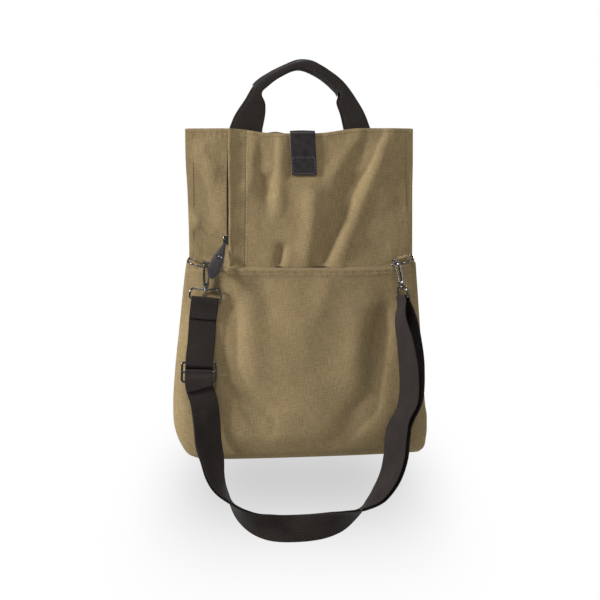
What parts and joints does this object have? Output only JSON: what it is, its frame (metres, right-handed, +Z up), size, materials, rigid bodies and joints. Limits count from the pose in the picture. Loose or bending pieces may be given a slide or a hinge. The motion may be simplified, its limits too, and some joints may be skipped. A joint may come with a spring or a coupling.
{
  "type": "foldover canvas tote bag with shoulder strap",
  "caption": "Unfolded canvas tote held up by its webbing handles, with a front pocket, an upright zip placket, a leather tab and a shoulder strap on snap hooks.",
  "frame": {"origin": "underside of the handles' crown, where a hand or a peg holds the bag up", "axes": "+Z up, +X to the right of the front, the pocket side faces -Y"},
  "size_m": [0.3533, 0.1, 0.6716],
  "materials": {
    "canvas": "plain weave, matt",
    "webbing": "herringbone webbing, matt",
    "leather": "smooth with raw edges",
    "metal": "dark nickel, polished"
  },
  "bodies": {
    "bag": {"bag_body": "canvas", "front_pocket": "canvas", "placket": "canvas", "closure_tab": "leather", "tab_snap": "metal", "handle_front": "webbing", "handle_back": "webbing", "handle_grip": "leather", "zip_slider": "metal", "zip_pull": "leather", "zip_pull_rivet": "metal", "ring_left": "metal", "ring_right": "metal", "ring_tab_left": "canvas", "ring_tab_right": "canvas", "strap_loop_left": "metal", "strap_loop_right": "metal", "strap_slider": "metal", "shoulder_strap": "webbing"},
    "left_hook": {"hook_left": "metal"},
    "right_hook": {"hook_right": "metal"},
    "left_gate": {"gate_left": "metal"},
    "right_gate": {"gate_right": "metal"}
  },
  "joints": [
    {"name": "left_swivel", "type": "hinge", "parent": "bag", "child": "left_hook", "pos_m": [-0.13071, -0.01978, -0.30404], "axis": [0.0872, 0, 0.9962], "range_deg": [-12, 12]},
    {"name": "right_swivel", "type": "hinge", "parent": "bag", "child": "right_hook", "pos_m": [0.13989, -0.03324, -0.30109], "axis": [-0.2756, 0, 0.9613], "range_deg": [-12, 12]},
    {"name": "left_gate_hinge", "type": "hinge", "parent": "left_hook", "child": "left_gate", "pos_m": [-0.12821, -0.01978, -0.29899], "axis": [0, -1, 0], "range_deg": [0, 10], "stiffness_Nm_per_rad": 0.01, "springref_deg": -5.73},
    {"name": "right_gate_hinge", "type": "hinge", "parent": "right_hook", "child": "right_gate", "pos_m": [0.13673, -0.03426, -0.29653], "axis": [-0.4739, 0.8701, -0.1359], "range_deg": [0, 10], "stiffness_Nm_per_rad": 0.01, "springref_deg": -5.73}
  ]
}
